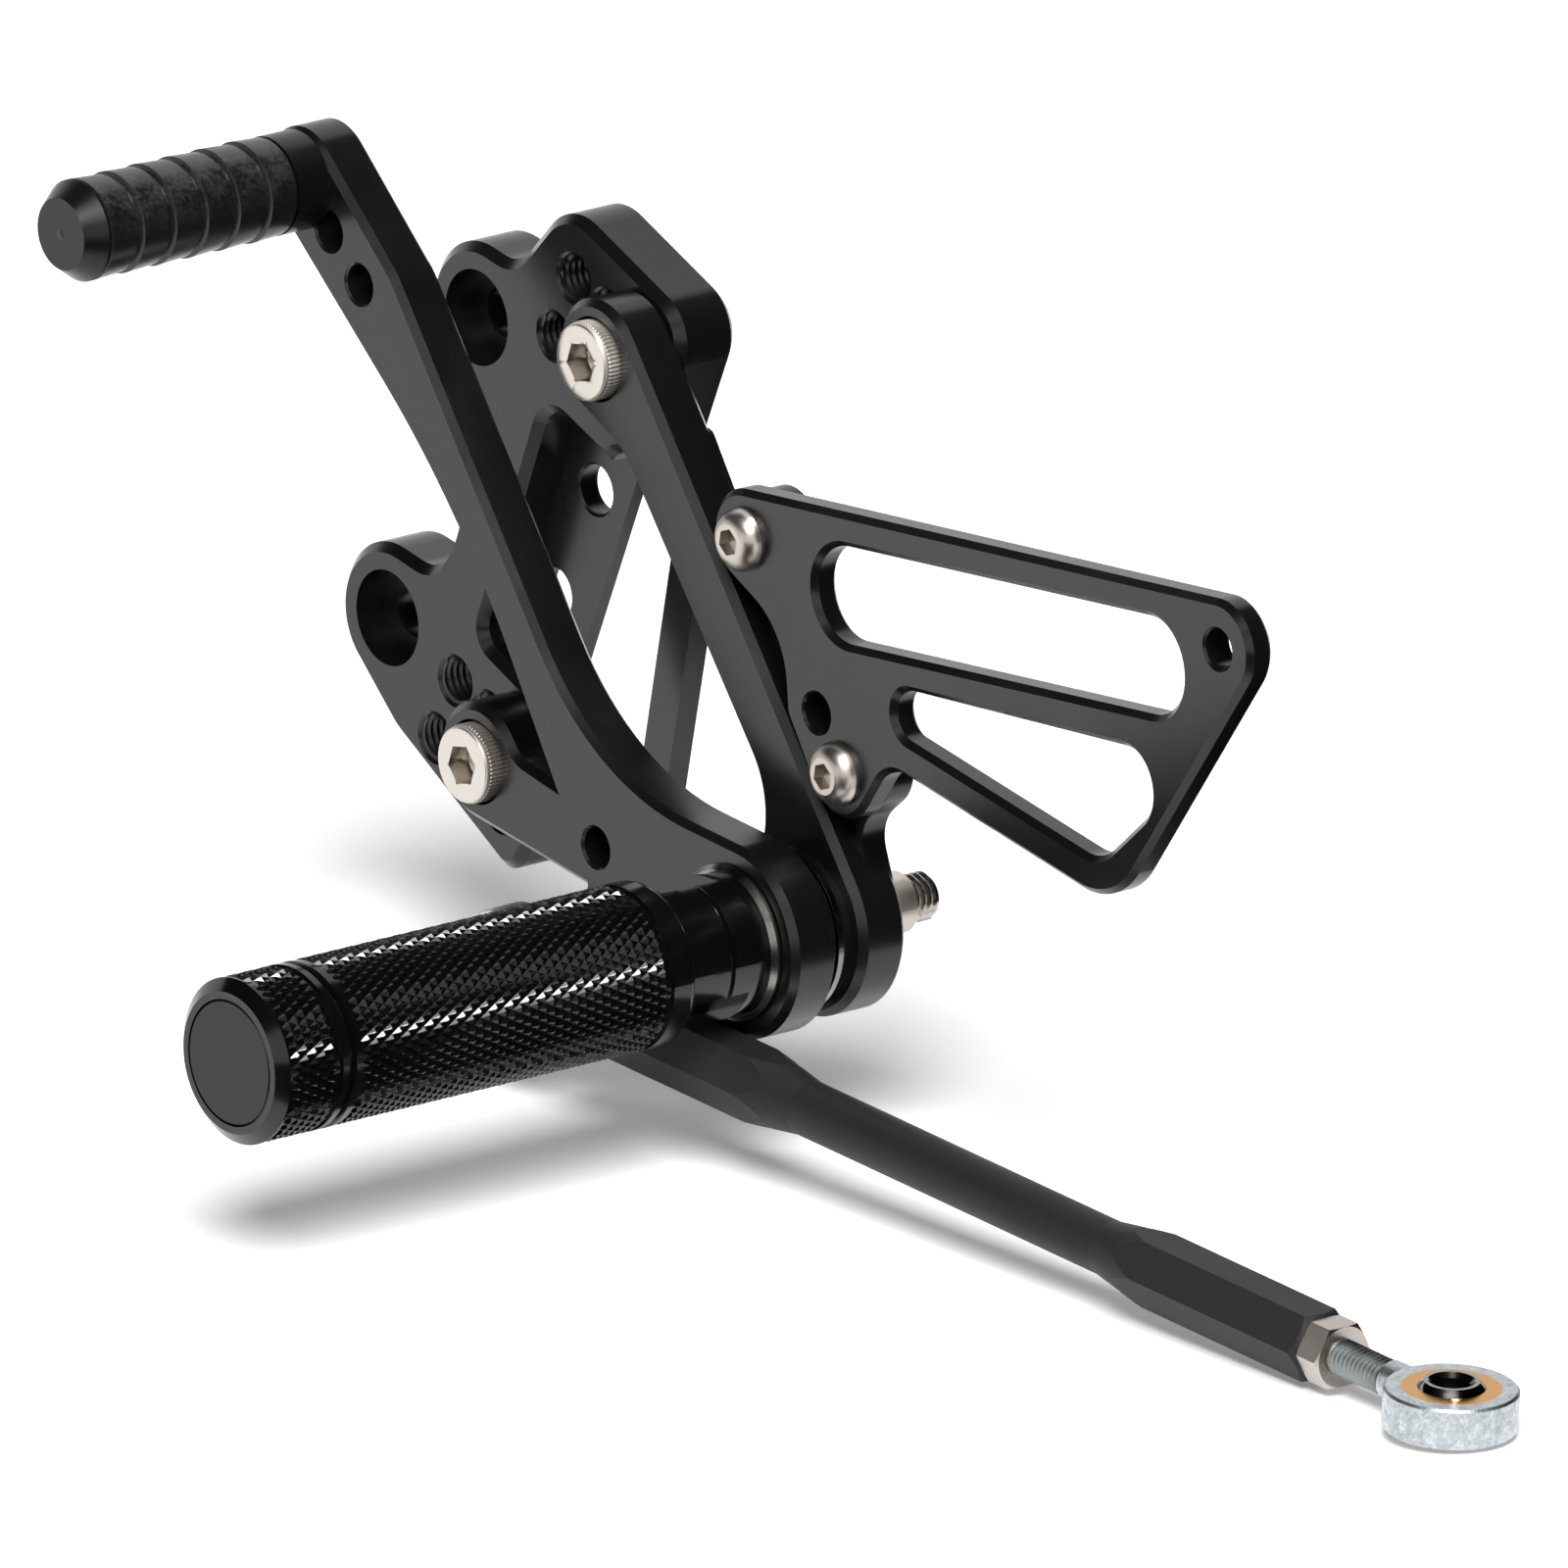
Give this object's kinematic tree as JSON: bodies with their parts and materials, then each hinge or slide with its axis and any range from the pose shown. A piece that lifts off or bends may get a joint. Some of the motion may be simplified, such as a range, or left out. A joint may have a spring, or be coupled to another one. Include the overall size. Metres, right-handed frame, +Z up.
{
  "type": "motorcycle rear set footrest",
  "caption": "Left-hand rear set: mounting plate, V bracket, knurled foot peg, gear lever with toe peg, slotted heel guard and a link rod with spherical rod ends.",
  "frame": {"origin": "midway between the two frame bolts, on the back face of the mounting plate", "axes": "+X towards the rear of the motorcycle, +Y inboard along the frame bolts, +Z up"},
  "size_m": [0.3234, 0.1422, 0.1453],
  "materials": {
    "black_anodised": "satin black anodised, milled",
    "knurled_anodised": "black anodised, diamond knurled",
    "end_cap_black": "black anodised, turned",
    "rod_black": "matt black anodised",
    "screw_stainless": "stainless steel",
    "washer_bright": "bright turned",
    "sleeve_steel": "turned steel",
    "bush_bronze": "bronze, turned",
    "toe_peg_aluminium": "black anodised, turned",
    "toe_peg_rubber": "ribbed black rubber",
    "eye_zinc": "zinc plated forging",
    "race_brass": "brass, turned",
    "ball_steel": "hardened steel, polished",
    "jam_nut_zinc": "zinc plated steel"
  },
  "bodies": {
    "frame_side": {"mounting_plate": "black_anodised", "peg_bracket": "black_anodised", "bracket_screws": "screw_stainless", "heel_guard": "black_anodised", "heel_guard_screws": "screw_stainless", "outer_washer": "washer_bright", "inner_washer": "washer_bright", "pivot_spacer": "black_anodised", "pivot_sleeve": "sleeve_steel", "footpeg_barrel": "knurled_anodised", "footpeg_end_cap": "end_cap_black", "footpeg_bolt": "screw_stainless"},
    "gear_lever": {"shift_lever": "black_anodised", "lever_bush": "bush_bronze", "toe_peg_core": "toe_peg_aluminium", "toe_peg_rubber": "toe_peg_rubber", "toe_peg_screw": "screw_stainless", "near_ball": "ball_steel", "link_bolt": "screw_stainless", "link_nut": "screw_stainless"},
    "link": {"link_rod": "rod_black", "near_jam_nut": "jam_nut_zinc", "far_jam_nut": "jam_nut_zinc", "near_rod_end": "eye_zinc", "near_race": "race_brass", "far_rod_end": "eye_zinc", "far_race": "race_brass"},
    "gear_shaft_ball": {"far_ball": "ball_steel"}
  },
  "joints": [
    {"name": "lever_pivot", "type": "hinge", "parent": "frame_side", "child": "gear_lever", "pos_m": [0.10455, -0.0311, -0.04945], "axis": [0, 1, 0], "range_deg": [-15, 15]},
    {"name": "link_near_eye", "type": "hinge", "parent": "gear_lever", "child": "link", "pos_m": [0.05725, -0.0414, -0.06465], "axis": [0, 1, 0], "range_deg": [-1, 45]},
    {"name": "gear_shaft_ball_tilt", "type": "hinge", "parent": "link", "child": "gear_shaft_ball", "pos_m": [0.28895, -0.0414, -0.08055], "axis": [0, 1, 0], "range_deg": [-12, 12]}
  ]
}
